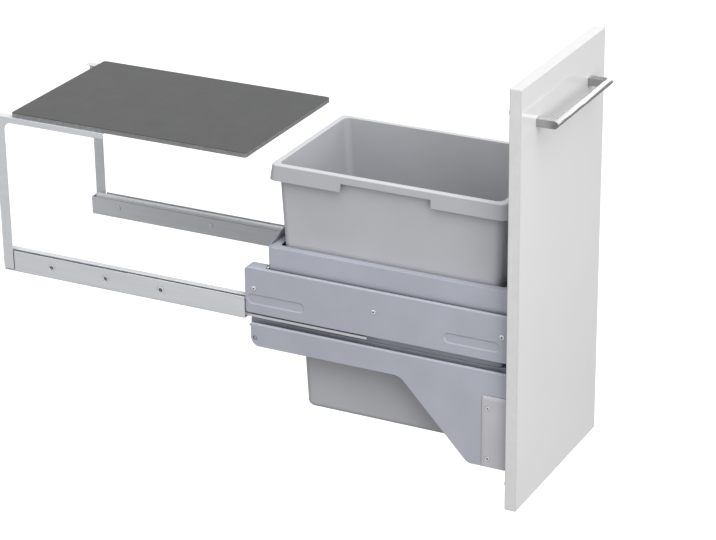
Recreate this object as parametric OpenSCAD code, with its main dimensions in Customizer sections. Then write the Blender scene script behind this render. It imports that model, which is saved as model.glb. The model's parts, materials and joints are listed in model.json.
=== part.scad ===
// Pull-out waste bin unit for a narrow base cabinet, drawn fully extended.
// X runs across the cabinet, +Y into it, +Z up. The origin is the middle of the
// cabinet opening, on the plane of the cabinet's front edges, at the height of
// the rail screws. Carriage parts are measured from the back face of the door.

/* [Cabinet and travel] */
// Clear width between the cabinet sides
opening_w = 268; // [255:0.5:300]
// How far the carriage slides
travel = 412; // [300:1:420]
// Gap between door and cabinet when shut
door_gap = 2; // [1:0.5:4]
// Height of the rail screws above the lower edge of the door
rail_h = 228.5; // [200:0.5:260]

/* [Door front] */
// Door width
door_w = 297; // [280:1:600]
// Door height
door_h = 635; // [560:1:760]
// Door thickness
door_t = 18; // [16:0.5:22]
// Rounding of the upright door edges
door_edge_r = 1.5; // [0.5:0.5:3]

/* [Handle] */
// Distance between the two handle legs
handle_span = 184; // [96:2:224]
// Handle centre below the upper edge of the door
handle_drop = 62; // [40:1:120]
// Reach of the handle in front of the door
handle_reach = 36; // [28:1:45]
// Width of a handle leg
leg_w = 12; // [8:1:16]
// Height of a handle leg
leg_h = 13; // [10:1:18]
// Depth of the grip bar
bar_d = 10; // [8:1:14]
// Handle screw diameter
handle_screw_d = 4; // [3:0.5:5]

/* [Sheet metal] */
// Thickness of the folded frame sheet
sheet = 1.2; // [1:0.1:1.5]
// Fold radius on the middle of the sheet
fold_r = 1.8; // [1.2:0.1:3]
// Air between the side panel and the wall leg of the rail
panel_air = 1.1; // [0.8:0.1:2]

/* [Side panels] */
// Front end of the side panel behind the door
panel_front = 5; // [3:0.5:10]
// Length of the side panel
panel_len = 418.5; // [380:0.5:440]
// Lower edge of the side panel below the rail screws
panel_drop = 7.5; // [4:0.5:12]
// Upper edge of the side panel above the rail screws
panel_rise = 65; // [55:0.5:80]
// Panel screws above the rail screws
panel_screw_rise = 32; // [28:0.5:45]
// Width of the turned-in upper edge of the panel
panel_lip = 4.5; // [3:0.5:7]
// Width of the tab behind the tray ring
rear_tab = 20; // [12:1:24]
// Depth of the pressed bead
bead_depth = 0.9; // [0.4:0.1:1]
// Height of the pressed bead
bead_h = 13; // [6:0.5:14]
// Length of the rear bead
bead_len = 91; // [60:1:120]
// Front bead behind the front end of the panel
bead_front = 14; // [10:0.5:20]
// Middle of the beads above the rail screws
bead_rise = 14.8; // [12:0.1:17]

/* [Tray ring] */
// Outer width of the tray ring
ring_w = 245.2; // [230:0.2:250]
// Front face of the ring behind the door
ring_front = 4; // [3:0.5:8]
// Rear face of the ring behind the door
ring_rear = 389; // [380:1:395]
// Upper edge of the ring above the rail screws
ring_rise = 98.1; // [90:0.1:110]
// Width of the flat upper lip
ring_lip = 14; // [8:0.5:14]
// Rise of the rear wall above the ring
back_rise = 12; // [4:0.5:20]
// Length of the slopes at both ends of the rear wall
back_slope = 44; // [20:1:80]
// Inner step above the rail screws
ledge_rise = 23.5; // [21:0.5:27]
// Width of the well below the step
well_w = 226; // [222:1:228]
// Front of the well behind the door
well_front = 22; // [18:1:30]
// Rear of the well behind the door
well_rear = 379; // [370:1:382]
// Width of the foot lip that carries the bin
foot_lip = 14; // [10:0.5:16]
// Height of the rear brace
brace_h = 38; // [28:1:50]

/* [Lower carrier] */
// Upper edge of the carrier below the rail screws
carrier_drop = 24.3; // [22:0.1:28]
// Lower edge of the rear part below the rail screws
carrier_mid_drop = 60.5; // [50:0.5:70]
// Lower edge of the front foot above the lower edge of the door
carrier_low = 52.5; // [45:0.5:80]
// Width of the turned-in upper edge
carrier_lip = 4; // [3:0.5:6]
// Depth of the gutter between carrier and tray
gutter_depth = 9; // [6:0.5:10]
// Front end of the carrier behind the door
carrier_front = 5; // [3:0.5:10]
// Rear end of the carrier behind the door
carrier_rear = 416; // [400:1:420]
// Where the slope meets the lower edge of the foot
slope_foot = 66; // [55:1:90]
// Where the slope meets the rear part
slope_top = 173.4; // [150:0.1:190]

/* [Door joint] */
// Height of the front cross plate
front_plate_h = 112; // [100:1:125]
// Length of the outer door plate
door_plate_len = 44; // [40:1:50]
// Height of the outer door plate
door_plate_h = 113; // [100:1:125]
// Rise of the pressed pad of the outer door plate
pad_rise = 1.6; // [1.4:0.1:1.8]
// Width of the sloped borders of the pad
pad_slope = 5.5; // [3:0.5:8]
// Carrier bolts behind the door
bolt_y = 34; // [30:0.5:34]
// Lower carrier bolt above the foot
bolt_low = 14; // [10:0.5:20]
// Distance between the carrier bolts
bolt_pitch = 79.5; // [60:0.5:90]
// Lower door screws from the middle of the door
low_screw_x = 112; // [100:1:120]
// First lower door screw above the foot
low_screw = 22.5; // [15:0.5:30]
// Distance between the lower door screws
low_screw_pitch = 75; // [60:1:80]
// Upper door screws from the middle of the door
high_screw_x = 110; // [104:1:116]
// First upper door screw above the lower edge of the bracket
high_screw = 7; // [6:0.5:9]
// Distance between the upper door screws
high_screw_pitch = 22; // [16:1:26]

/* [Slides] */
// Length of the cabinet slide member
slide_len = 412; // [380:1:420]
// Set-back of the rails behind the cabinet front
rail_setback = 10; // [8:0.5:14]
// Length of the wall rail
rail_len = 420; // [415:1:430]
// Upper edge of the wall leg above the screws
leg_high = 16; // [14:0.5:18]
// Upper edge of the inner leg above the screws
inner_leg_high = 11.5; // [8:0.5:14]
// Slide sheet thickness
slide_t = 1.1; // [0.9:0.1:1.2]
// Half height of the drawer member
inner_half = 9; // [8:0.5:11]
// Ball diameter
ball_d = 2.6; // [2:0.1:3]
// Play of a ball between its two tracks
ball_play = 0.3; // [0.1:0.05:0.4]
// Balls in one row
ball_count = 9; // [5:1:12]
// Distance between balls
ball_pitch = 18; // [12:1:24]
// Set-back of the middle member when shut
middle_setback = 10; // [5:1:15]
// Length of the middle member
middle_len = 400; // [360:1:410]
// Skirt under the middle member
middle_skirt = 3.5; // [1:0.1:3.8]
// Wall screw hole diameter
wall_hole_d = 6.4; // [5:0.1:7]
// First wall screw hole behind the cabinet front
first_hole = 153; // [37:1:180]
// Distance between wall screw holes
hole_pitch = 96; // [64:32:128]

/* [Bin] */
// Outer width of the bin rim
rim_w = 227; // [200:1:240]
// Front of the rim behind the door
rim_front = 19; // [15:1:35]
// Rear of the rim behind the door
rim_rear = 385.5; // [370:0.5:387]
// Upper edge of the rim above the rail screws
rim_rise = 223.8; // [180:0.1:230]
// Depth of the rim skirt at the corners
skirt_deep = 23.5; // [15:0.5:30]
// Depth of the rim skirt along the middle
skirt_short = 11.5; // [8:0.5:20]
// Bin wall thickness
bin_wall = 2.2; // [1.8:0.1:3]
// Height of the bin
bin_height = 388.3; // [330:0.1:392]
// Radius of the rim corners
rim_r = 8; // [5:1:35]
// Outward slope of the skirt
rim_flare = 4; // [0:0.5:5]
// Length of the short part of the skirt
notch_len = 143; // [80:1:200]
// Width of the bin under the rim
bin_top_w = 215; // [205:1:218]
// Width of the bin at its shoulder
bin_shoulder_w = 209; // [204:1:212]
// Width of the bin below its shoulder
bin_waist_w = 194; // [185:1:196]
// Width of the bin at the bottom
bin_foot_w = 181; // [165:1:190]
// Front and rear walls inside the ends of the rim
end_inset = 6.5; // [5:0.5:12]
// Slope of the front and rear walls down to the shoulder
end_taper = 12.5; // [8:0.5:20]
// Step of the shoulder at the front and rear
end_step = 15; // [10:0.5:20]
// Slope of the front and rear walls below the shoulder
foot_taper = 3; // [1:0.5:15]
// Radius of the upright corners
corner_r = 12; // [8:1:20]
// Radius of the bottom edge
foot_r = 10; // [6:1:18]

/* [Lid] */
// Lid width
lid_w = 262; // [250:1:266]
// Lid depth
lid_d = 400; // [360:1:410]
// Front edge of the lid behind the cabinet front
lid_setback = 2; // [1:0.5:10]
// Underside of the lid edge above the rail screws
lid_rise = 233.5; // [229:0.5:250]
// Height of the turned-down lid edge
lid_edge = 7.5; // [5:0.5:15]
// Front end of the lid arms behind the cabinet front
arm_front = 240; // [150:5:300]

/* [Fasteners] */
// Panel screw diameter
screw_d = 4; // [3:0.5:5]
// Screw head diameter
head_d = 8; // [6:0.5:9]
// Screw head thickness
head_t = 0.8; // [0.5:0.1:0.9]
// Width of a nut over its corners
nut_d = 7.7; // [7:0.1:9]
// Rivet diameter
rivet_d = 3; // [2.5:0.1:4]
// Carrier bolt diameter
bolt_d = 5; // [4:0.5:6]
// Play of a screw in its hole
screw_play = 0.3; // [0.1:0.1:0.5]

/* [Hidden] */
$fn = 64;

eps = 0.5;
thread_play = 0.1;
screw_depth = 14;
spacer_d = 7.6;
half_opening = opening_w / 2;
door_y = -(travel + door_gap);
panel_low = rail_h - panel_drop;
panel_high = rail_h + panel_rise;
panel_top = panel_high - sheet / 2;
panel_screw_h = rail_h + panel_screw_rise;
bead_mid_h = rail_h + bead_rise;
ring_high = rail_h + ring_rise;
ledge_h = rail_h + ledge_rise;
carrier_high = rail_h - carrier_drop;
carrier_mid = rail_h - carrier_mid_drop;
rim_high = rail_h + rim_rise;
bin_low = rim_high - bin_height;
lid_low = rail_h + lid_rise;
leg_mid_x = half_opening - sheet / 2;
panel_out = half_opening - sheet - panel_air;
panel_in = panel_out - sheet;
panel_mid_x = panel_out - sheet / 2;
panel_rear = panel_front + panel_len;
ring_out = ring_w / 2;
well_out = well_w / 2;
foot_in = well_out - foot_lip;
carrier_mid_h = carrier_high - sheet / 2;
pad_face = panel_out + pad_rise;
middle_half = inner_half + ball_d + ball_play + slide_t;
cabinet_half = middle_half + ball_d + ball_play + slide_t;
weld_foot = 1;
drawer_web = weld_foot + slide_t / 2;
drawer_tip = 8.4;
middle_lip = 3.55;
middle_web = 10.05;
cabinet_lip = 5.15;
cabinet_web = 12.45;
cabinet_back = cabinet_web + slide_t / 2;
slide_fold = 0.9;
track_play = (ball_d + ball_play) / 2;
inner_row = inner_half + track_play;
outer_row = middle_half + track_play;
inner_row_u = 6;
outer_row_u = 8.2;
web_h = rail_h - cabinet_half - sheet / 2;
inner_leg_x = panel_in - cabinet_back - sheet / 2;
rail_end = rail_setback + rail_len;
row_len = ball_pitch * (ball_count - 1);
cage_len = row_len + 14;
inner_cage_front = rail_setback + middle_setback - travel / 2 + 10;
outer_cage_front = rail_setback + 18;
bar_h = leg_h - 1;
handle_h = door_h - handle_drop;
wing_x = ring_out - sheet / 2;
wall_leg_end = 412;
hole_ys = [for (i = [0:2]) first_hole + i * hole_pitch];
rivet_ys = [60, 210, 380];
panel_screw_ys = [14, 214, 409];
foot_rivet_ys = [60, 204, 350];
bolt_hs = [carrier_low + bolt_low, carrier_low + bolt_low + bolt_pitch];
low_screw_hs = [carrier_low + low_screw, carrier_low + low_screw + low_screw_pitch];
foot_rivet_x = foot_in + 8;
gutter_h = carrier_mid_h - gutter_depth;
end_hole = [carrier_rear - 7, carrier_mid + 13];
end_hole_d = 7;
cross_low = carrier_mid + 5;
cross_high = gutter_h - sheet / 2 - 0.5;
cross_y = carrier_rear - 3;
cross_wing = 19;
angle_front = carrier_front + 10;
angle_rear = carrier_rear - 1;
angle_tail = panel_rear + 1.5;
buffer_x = half_opening - 7.5;
tab_low = 15;
tab_w = 14.5;
arm_h = 9;
arm_r = 12;
arm_flange = 13;
brace_x = 70;
brace_rivet_h = ledge_h + 20;
lid_mid = lid_setback + lid_d / 2;
lid_screw_x = lid_w / 2 - 7;
lid_screw_ys = [arm_front + 12, lid_setback + lid_d - 22];
pad_ys = [70, 204, 338];
rim_mid = (rim_front + rim_rear) / 2;
rim_len = rim_rear - rim_front;
shoulder_h = carrier_high + sheet + 2;
rear_bead_y = panel_rear - 5 - bead_len;
front_bead_len = bead_len - 8;
bracket_low = bead_mid_h + bead_h / 2 + 1.2;
bracket_high = panel_high - 3.5;
bracket_t = 1.5;
high_screw_hs = [bracket_low + high_screw, bracket_low + high_screw + high_screw_pitch];

// placing

module on_cabinet() {
    translate([0, 0, -rail_h]) children();
}

module on_carriage() {
    translate([0, door_y, -rail_h]) children();
}

module right_hand() {
    mirror([1, 0, 0]) children();
}

module both_hands() {
    children();
    right_hand() children();
}

// outlines

// flat shape in Y and Z, pushed out along X
module along_x(x0, len) {
    translate([x0, 0, 0]) rotate([90, 0, 90]) linear_extrude(len) children();
}

// flat shape in X and Z, pushed out along Y
module along_y(y0, len) {
    translate([0, y0 + len, 0]) rotate([90, 0, 0]) linear_extrude(len) children();
}

// flat shape in X and Y, pushed up
module along_z(z0, len) {
    translate([0, 0, z0]) linear_extrude(len) children();
}

function unit(v) = v / norm(v);
function turn(u, v) = u[0] * v[1] - u[1] * v[0];
function away(c, p) = p + unit(p - c) * eps;
function tangent(u, v, r) = r * abs(turn(u, v)) / (1 + u * v);
function centre(p, u, v, l) = let (w = unit(v - u))
    p + w * (l / abs(w * v));

// strip of sheet that follows square-cornered points, with rounded folds
module folded(path, t, r) {
    last = len(path) - 1;
    for (i = [0:last - 1]) {
        u = unit(path[i + 1] - path[i]);
        a = path[i] + u * (i > 0 ? r : 0);
        b = path[i + 1] - u * (i < last - 1 ? r : 0);
        s = [max(abs(b[0] - a[0]), t), max(abs(b[1] - a[1]), t)];
        translate((a + b) / 2) square(s, center = true);
    }
    for (i = [1:last - 1]) fold(path[i], unit(path[i] - path[i - 1]), unit(path[i + 1] - path[i]), t, r);
}

module fold(p, u, v, t, r) {
    c = p - u * r + v * r;
    q = u - v;
    intersection() {
        translate(c) difference() {
            circle(r + t / 2);
            circle(r - t / 2);
        }
        translate(c + q * (r + t) / 2) square(r + t, center = true);
    }
}

// corner piece between two edges and the arc that rounds them
module corner_piece(a, p, b, r) {
    u = unit(p - a);
    v = unit(b - p);
    l = tangent(u, v, r);
    c = centre(p, u, v, norm([l, r]) * abs(unit(v - u) * v));
    difference() {
        polygon([away(c, p), p - u * l, c, p + v * l]);
        translate(c) circle(r);
    }
}

// polygon, anticlockwise, with one radius for each corner
module rounded(pts, radii) {
    n = len(pts);
    difference() {
        union() {
            polygon(pts);
            for (i = [0:n - 1]) if (radii[i] > 0 && bend(pts, i) < 0)
                corner_piece(pts[(i + n - 1) % n], pts[i], pts[(i + 1) % n], radii[i]);
        }
        for (i = [0:n - 1]) if (radii[i] > 0 && bend(pts, i) > 0)
            corner_piece(pts[(i + n - 1) % n], pts[i], pts[(i + 1) % n], radii[i]);
    }
}

function bend(pts, i) = let (n = len(pts))
    turn(pts[i] - pts[(i + n - 1) % n], pts[(i + 1) % n] - pts[i]);

// rectangle with round corners, from its middle
module round_rect(w, d, r) {
    square([w - 2 * r, d], center = true);
    square([w, d - 2 * r], center = true);
    for (x = [-1, 1], y = [-1, 1]) translate([x * (w / 2 - r), y * (d / 2 - r)]) circle(r);
}

module slot(len, h) {
    square([len - h, h], center = true);
    for (s = [-1, 1]) translate([s * (len - h) / 2, 0]) circle(h / 2);
}

module pin_x(x0, len, d) {
    translate([x0, 0, 0]) rotate([0, 90, 0]) cylinder(d = d, h = len);
}

module pin_y(y0, len, d) {
    translate([0, y0, 0]) rotate([-90, 0, 0]) cylinder(d = d, h = len);
}

// hexagonal socket in the outer face of a head
module hex_hole(x0, d) {
    translate([x0 - 0.6, 0, 0]) rotate([0, 90, 0]) cylinder(d = d, h = 1.4, $fn = 6);
}

// slide members, seen from the front: u is the distance from the side panel

function slide_point(u, z) = [-panel_in + u, z];

module slide_profile(points, t) {
    folded([for (p = points) slide_point(p[0], p[1])], t, slide_fold);
}

// fixed rails

module left_wall_rail() {
    color("#c9ced3") on_cabinet() difference() {
        union() {
            along_y(rail_setback, rail_len) folded([[-leg_mid_x, rail_h + leg_high], [-leg_mid_x, web_h],
                [-inner_leg_x, web_h], [-inner_leg_x, rail_h + inner_leg_high]], sheet, fold_r);
            rail_end_tab();
        }
        for (y = hole_ys) translate([-half_opening, y, rail_h]) {
            pin_x(-1, 4, wall_hole_d);
            difference() {
                pin_x(-1, 1.3, 2 * wall_hole_d);
                pin_x(-2, 3, 1.6 * wall_hole_d);
            }
        }
        for (y = rivet_ys) translate([-inner_leg_x - 2, y, rail_h]) pin_x(0, 4, screw_d + screw_play);
        translate([-half_opening - 1, wall_leg_end, web_h + fold_r]) cube([3, rail_len, 60]);
        at_tab_rivets() pin_y(rail_end - 3, 6, rivet_d + screw_play);
        translate([-buffer_x, 0, rail_h]) pin_y(rail_end - 3, 6, screw_d + screw_play);
    }
}

// two rivets that join the lid bracket to the rear tab of the wall rail
module at_tab_rivets() {
    for (i = [0, 1]) translate([-half_opening + 5 + 7 * i, 0, rail_h - tab_low + 3 + 3 * i]) children();
}

// turned-up tab that closes the rear of the wall rail
module rail_end_tab() {
    translate([-half_opening + sheet, rail_end - sheet, web_h])
        cube([half_opening - inner_leg_x - sheet, sheet, rail_h + inner_leg_high - web_h]);
}

module right_wall_rail() {
    right_hand() left_wall_rail();
}

module left_cabinet_slide() {
    z = cabinet_half - slide_t / 2;
    lip = z - 1.85;
    color("#d5d9dc") on_cabinet() difference() {
        translate([0, 0, rail_h]) along_y(rail_setback, slide_len) slide_profile([[cabinet_lip, lip],
            [cabinet_lip, z], [cabinet_web, z], [cabinet_web, -z], [cabinet_lip, -z],
            [cabinet_lip, -lip]], slide_t);
        for (y = rivet_ys) translate([-panel_in + cabinet_web - 2, y, rail_h])
            pin_x(0, 4, screw_d + screw_play);
    }
}

module right_cabinet_slide() {
    right_hand() left_cabinet_slide();
}

module slide_rivets() {
    color("#b9bec4") both_hands() on_cabinet() for (y = rivet_ys) translate([0, y, rail_h]) {
        pin_x(-panel_in + cabinet_web - slide_t / 2, slide_t + sheet, screw_d);
        pin_x(-inner_leg_x + sheet / 2, 1.1, 7);
    }
}

module rear_buffers() {
    color("#3a3d40") both_hands() on_cabinet() translate([-buffer_x, 0, rail_h]) {
        pin_y(rail_end - sheet - 6.3, 6.3, 9);
        pin_y(rail_end - 2, 3, screw_d);
        pin_y(rail_end, sheet, 6);
    }
}

// lid and its holders

module left_lid_bracket() {
    y1 = rail_end + sheet;
    y0 = wall_leg_end + 2;
    color("#c9ced3") on_cabinet() difference() {
        union() {
            along_x(-half_opening, sheet) rounded([[y0, rail_h - tab_low], [y1, rail_h - tab_low],
                [y1, lid_low], [arm_front, lid_low], [arm_front, lid_low - arm_h], [y0, lid_low - arm_h]],
                [0, 0, 0, 0, 5, arm_r]);
            translate([-half_opening, arm_front, lid_low - sheet])
                cube([arm_flange, y1 - arm_front, sheet]);
            translate([-half_opening, rail_end, rail_h - tab_low])
                cube([tab_w, sheet, tab_low + inner_leg_high]);
        }
        at_tab_rivets() pin_y(rail_end - 1, 4, rivet_d + screw_play);
        translate([-buffer_x, 0, rail_h]) pin_y(rail_end - 1, 4, 7);
        for (y = lid_screw_ys) translate([-lid_screw_x, y, lid_low - 3])
            cylinder(d = screw_d + screw_play, h = 6);
    }
}

module right_lid_bracket() {
    right_hand() left_lid_bracket();
}

module lid_bracket_rivets() {
    color("#b9bec4") both_hands() on_cabinet() at_tab_rivets() {
        pin_y(rail_end - sheet, 2 * sheet, rivet_d);
        pin_y(rail_end + sheet, 0.8, 4.4);
        pin_y(rail_end - sheet - 0.8, 0.8, 4.4);
    }
}

module lid() {
    color("#6b6e72") on_cabinet() translate([0, lid_mid, 0]) difference() {
        along_z(lid_low, lid_edge) round_rect(lid_w, lid_d, 4);
        along_z(lid_low + sheet, lid_edge - 2 * sheet)
            round_rect(lid_w - 2 * sheet, lid_d - 2 * sheet, 4 - sheet);
        along_z(lid_low - 1, 3) round_rect(lid_w - 24, lid_d - 24, 6);
        for (s = [-1, 1], y = lid_screw_ys) translate([s * lid_screw_x, y - lid_mid, lid_low - 1])
            cylinder(d = screw_d + screw_play, h = 3);
    }
}

module lid_screws() {
    color("#8f959b") both_hands() on_cabinet() for (y = lid_screw_ys)
        translate([-lid_screw_x, y, lid_low - sheet]) {
            translate([0, 0, -2]) cylinder(d = 7, h = 2);
            translate([0, 0, -1]) cylinder(d = screw_d, h = 6);
        }
}

module lid_nuts() {
    color("#8f959b") both_hands() on_cabinet() for (y = lid_screw_ys)
        translate([-lid_screw_x, y, lid_low + sheet]) difference() {
            cylinder(d = nut_d, h = 2.4, $fn = 6);
            translate([0, 0, -1]) cylinder(d = screw_d + thread_play, h = 5);
        }
}

// ball cages and middle members

module cage(u0, u1, z, t, ball_u, y0) {
    difference() {
        translate([0, 0, rail_h]) along_y(y0, cage_len)
            slide_profile([[u0, z], [u1, z], [u1, -z], [u0, -z]], t);
        for (s = [-1, 1], i = [0:ball_count - 1])
            translate([-panel_in + ball_u, y0 + 7 + i * ball_pitch, rail_h + s * z - 1])
                cylinder(d = ball_d + 0.3, h = 2);
    }
}

module ball_rows(ball_u, z, y0) {
    for (s = [-1, 1], i = [0:ball_count - 1])
        translate([-panel_in + ball_u, y0 + 7 + i * ball_pitch, rail_h + s * z]) sphere(d = ball_d);
}

module left_outer_ball_cage() {
    color("#aab0b5") on_cabinet() cage(6.5, 11.25, outer_row, 0.5, outer_row_u, outer_cage_front);
}

module right_outer_ball_cage() {
    right_hand() left_outer_ball_cage();
}

module left_outer_balls() {
    color("#e2e4e6") on_cabinet() ball_rows(outer_row_u, outer_row, outer_cage_front);
}

module right_outer_balls() {
    right_hand() left_outer_balls();
}

module left_middle_slide() {
    z = middle_half - slide_t / 2;
    lip = z - 1.85;
    color("#d5d9dc") on_cabinet() difference() {
        translate([0, -travel / 2, rail_h]) along_y(rail_setback + middle_setback, middle_len)
            slide_profile([[middle_lip, lip], [middle_lip, z], [middle_web, z], [middle_web, -z],
                [middle_lip, -z], [middle_lip, -z - middle_skirt]], slide_t);
        for (y = [40, middle_len - 40]) translate([-panel_in + middle_web - 2,
            rail_setback + middle_setback - travel / 2 + y, rail_h]) along_x(0, 4) slot(24, 6);
    }
}

module right_middle_slide() {
    right_hand() left_middle_slide();
}

module left_inner_ball_cage() {
    color("#aab0b5") on_cabinet() cage(4.5, 8.95, inner_row, 0.4, inner_row_u, inner_cage_front);
}

module right_inner_ball_cage() {
    right_hand() left_inner_ball_cage();
}

module left_inner_balls() {
    color("#e2e4e6") on_cabinet() ball_rows(inner_row_u, inner_row, inner_cage_front);
}

module right_inner_balls() {
    right_hand() left_inner_balls();
}

// carriage sides

module left_drawer_slide() {
    z = inner_half - slide_t / 2;
    color("#d5d9dc") on_carriage() {
        translate([0, 0, rail_h]) along_y(panel_front + 3, panel_len - 7)
            slide_profile([[drawer_tip, z], [drawer_web, z], [drawer_web, -z], [drawer_tip, -z]], slide_t);
        for (y = [50, 160, 260, 366]) translate([-panel_in, y, rail_h + 1]) pin_x(0, weld_foot + 0.4, 10);
    }
}

module right_drawer_slide() {
    right_hand() left_drawer_slide();
}

module bead(y0, len, grow) {
    translate([0, y0 + len / 2, bead_mid_h]) along_x(0, bead_depth) slot(len + grow, bead_h + grow);
}

// upright sheet with its upper edge turned in
module panel_section(lip) {
    folded([[-panel_mid_x, panel_low], [-panel_mid_x, panel_top], [-panel_out + lip, panel_top]],
        sheet, fold_r);
}

module left_side_panel() {
    color("#a3a9b3") on_carriage() difference() {
        union() {
            intersection() {
                union() {
                    along_y(panel_front, panel_len) panel_section(panel_lip);
                    along_y(ring_rear + 2, panel_rear - ring_rear - 2) panel_section(rear_tab);
                }
                along_x(-half_opening, rear_tab + 5) rounded([[panel_front, panel_low],
                    [panel_rear, panel_low], [panel_rear, panel_high], [panel_front, panel_high]],
                    [2, 4, 6, 2]);
            }
            translate([-panel_in, 0, 0]) {
                bead(rear_bead_y, bead_len, 2);
                bead(panel_front + bead_front, front_bead_len, 2);
            }
        }
        translate([-panel_out, 0, 0]) {
            bead(rear_bead_y, bead_len, 0);
            bead(panel_front + bead_front, front_bead_len, 0);
        }
        for (y = panel_screw_ys) translate([-panel_out - 1, y, panel_screw_h])
            pin_x(0, 4, screw_d + screw_play);
    }
}

module right_side_panel() {
    right_hand() left_side_panel();
}

module panel_spacers() {
    color("#8f959b") both_hands() on_carriage() for (y = panel_screw_ys) {
        start = y == panel_screw_ys[0] ? bracket_t : 0;
        translate([0, y, panel_screw_h]) difference() {
            pin_x(-panel_in + start, panel_in - ring_out - start, spacer_d);
            pin_x(-panel_in - 1, 12, screw_d + screw_play);
        }
    }
}

module panel_screws() {
    color("#c4c8cc") both_hands() on_carriage() for (y = panel_screw_ys) translate([0, y, panel_screw_h])
        difference() {
            union() {
                pin_x(-panel_out - head_t, head_t, head_d);
                pin_x(-panel_out - 0.1, 15.5, screw_d);
            }
            hex_hole(-panel_out - head_t, 2.6);
        }
}

module panel_nuts() {
    color("#8f959b") both_hands() on_carriage() for (y = panel_screw_ys) translate([0, y, panel_screw_h])
        difference() {
            translate([-ring_out + sheet, 0, 0]) rotate([0, 90, 0]) cylinder(d = nut_d, h = 3.2, $fn = 6);
            pin_x(-ring_out, 8, screw_d + thread_play);
        }
}

// tray ring and braces

module ring_wall(w, y0, y1, r, z0, z1) {
    translate([0, (y0 + y1) / 2, 0]) difference() {
        along_z(z0, z1 - z0) round_rect(w, y1 - y0, r);
        along_z(z0 - 1, z1 - z0 + 2) round_rect(w - 2 * sheet, y1 - y0 - 2 * sheet, r - sheet);
    }
}

module ring_flat(w, y0, y1, r, lip, z0) {
    translate([0, (y0 + y1) / 2, z0]) difference() {
        along_z(0, sheet) round_rect(w, y1 - y0, r);
        along_z(-1, 4) round_rect(w - 2 * lip, y1 - y0 - 2 * lip, max(r - lip, 4));
    }
}

// rear wall that rises above the ring
module back_outline() {
    half = ring_out - 5;
    polygon([[-half, ring_high - sheet], [half, ring_high - sheet], [half, ring_high],
        [half - back_slope, ring_high + back_rise], [-half + back_slope, ring_high + back_rise],
        [-half, ring_high]]);
}

module tray_ring() {
    color("#a3a9b3") on_carriage() difference() {
        union() {
            ring_wall(ring_w, ring_front, ring_rear, 5, ledge_h, ring_high);
            ring_flat(ring_w, ring_front, ring_rear, 5, ring_lip, ring_high - sheet);
            along_y(ring_rear - sheet, sheet) back_outline();
            difference() {
                translate([0, (ring_front + ring_rear) / 2, ledge_h]) along_z(0, sheet)
                    round_rect(ring_w, ring_rear - ring_front, 5);
                translate([0, (well_front + well_rear) / 2, ledge_h - 1]) along_z(0, 4)
                    round_rect(well_w - 2 * sheet, well_rear - well_front - 2 * sheet, 4);
            }
            ring_wall(well_w, well_front, well_rear, 5.2, carrier_high, ledge_h + sheet);
            ring_flat(well_w, well_front, well_rear, 5.2, foot_lip, carrier_high);
        }
        for (s = [-1, 1], y = [panel_screw_ys[0], panel_screw_ys[1]])
            translate([s * ring_out - 3, y, panel_screw_h]) pin_x(0, 6, screw_d + screw_play);
        for (s = [-1, 1]) translate([s * brace_x, 0, brace_rivet_h])
            pin_y(ring_rear - 3, 6, screw_d + screw_play);
        for (s = [-1, 1], y = foot_rivet_ys) translate([s * foot_rivet_x, y, carrier_high - 1])
            cylinder(d = rivet_d + screw_play, h = 4);
    }
}

module rear_brace() {
    y0 = ring_rear + sheet / 2;
    color("#a3a9b3") on_carriage() difference() {
        along_z(ledge_h + 2, brace_h) folded([[-wing_x, panel_rear - 4], [-wing_x, y0], [wing_x, y0],
            [wing_x, panel_rear - 4]], sheet, fold_r);
        for (s = [-1, 1]) translate([s * ring_out - 3, panel_screw_ys[2], panel_screw_h])
            pin_x(0, 6, screw_d + screw_play);
        for (s = [-1, 1]) translate([s * brace_x, 0, brace_rivet_h])
            pin_y(ring_rear - 2, 6, screw_d + screw_play);
        translate([0, 0, brace_rivet_h]) along_y(ring_rear - 2, 6) slot(80, 14);
    }
}

module brace_rivets() {
    color("#b9bec4") on_carriage() for (s = [-1, 1]) translate([s * brace_x, 0, brace_rivet_h]) {
        pin_y(ring_rear - sheet, 2 * sheet, screw_d);
        pin_y(ring_rear + sheet, 1, 7);
        pin_y(ring_rear - sheet - 1, 1, 7);
    }
}

// lower carrier

module carrier_outline() {
    rounded([[carrier_front, carrier_low], [slope_foot, carrier_low], [slope_top, carrier_mid],
        [carrier_rear, carrier_mid], [carrier_rear, carrier_high], [carrier_front, carrier_high]],
        [3, 12, 22, 14, 0, 0]);
}

module left_carrier() {
    color("#a3a9b3") on_carriage() difference() {
        intersection() {
            along_y(carrier_front, carrier_rear - carrier_front) folded([[-panel_mid_x, carrier_low - 5],
                [-panel_mid_x, carrier_mid_h], [-panel_out + carrier_lip, carrier_mid_h]], sheet, fold_r);
            along_x(-half_opening, half_opening) carrier_outline();
        }
        translate([-panel_out - 1, end_hole[0], end_hole[1]]) pin_x(0, 4, end_hole_d);
        for (h = bolt_hs) translate([-panel_out - 1, bolt_y, h]) pin_x(0, 4, bolt_d + screw_play);
    }
}

module right_carrier() {
    right_hand() left_carrier();
}

// gutter that joins the carrier to the foot of the tray
module left_carrier_angle() {
    x = panel_in - sheet / 2;
    step_x = well_out - sheet / 2;
    color("#a3a9b3") on_carriage() difference() {
        union() {
            along_y(angle_front, angle_rear - angle_front) folded([[-x, carrier_high - 3], [-x, gutter_h],
                [-step_x, gutter_h], [-step_x, carrier_mid_h], [-foot_in, carrier_mid_h]], sheet, fold_r);
            along_y(angle_front, angle_tail - angle_front) folded([[-step_x - 8, gutter_h],
                [-step_x, gutter_h], [-step_x, carrier_mid_h], [-step_x + 4, carrier_mid_h]],
                sheet, fold_r);
        }
        for (y = foot_rivet_ys) translate([-foot_rivet_x, y, carrier_high - 3])
            cylinder(d = rivet_d + screw_play, h = 6);
    }
}

module right_carrier_angle() {
    right_hand() left_carrier_angle();
}

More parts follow.
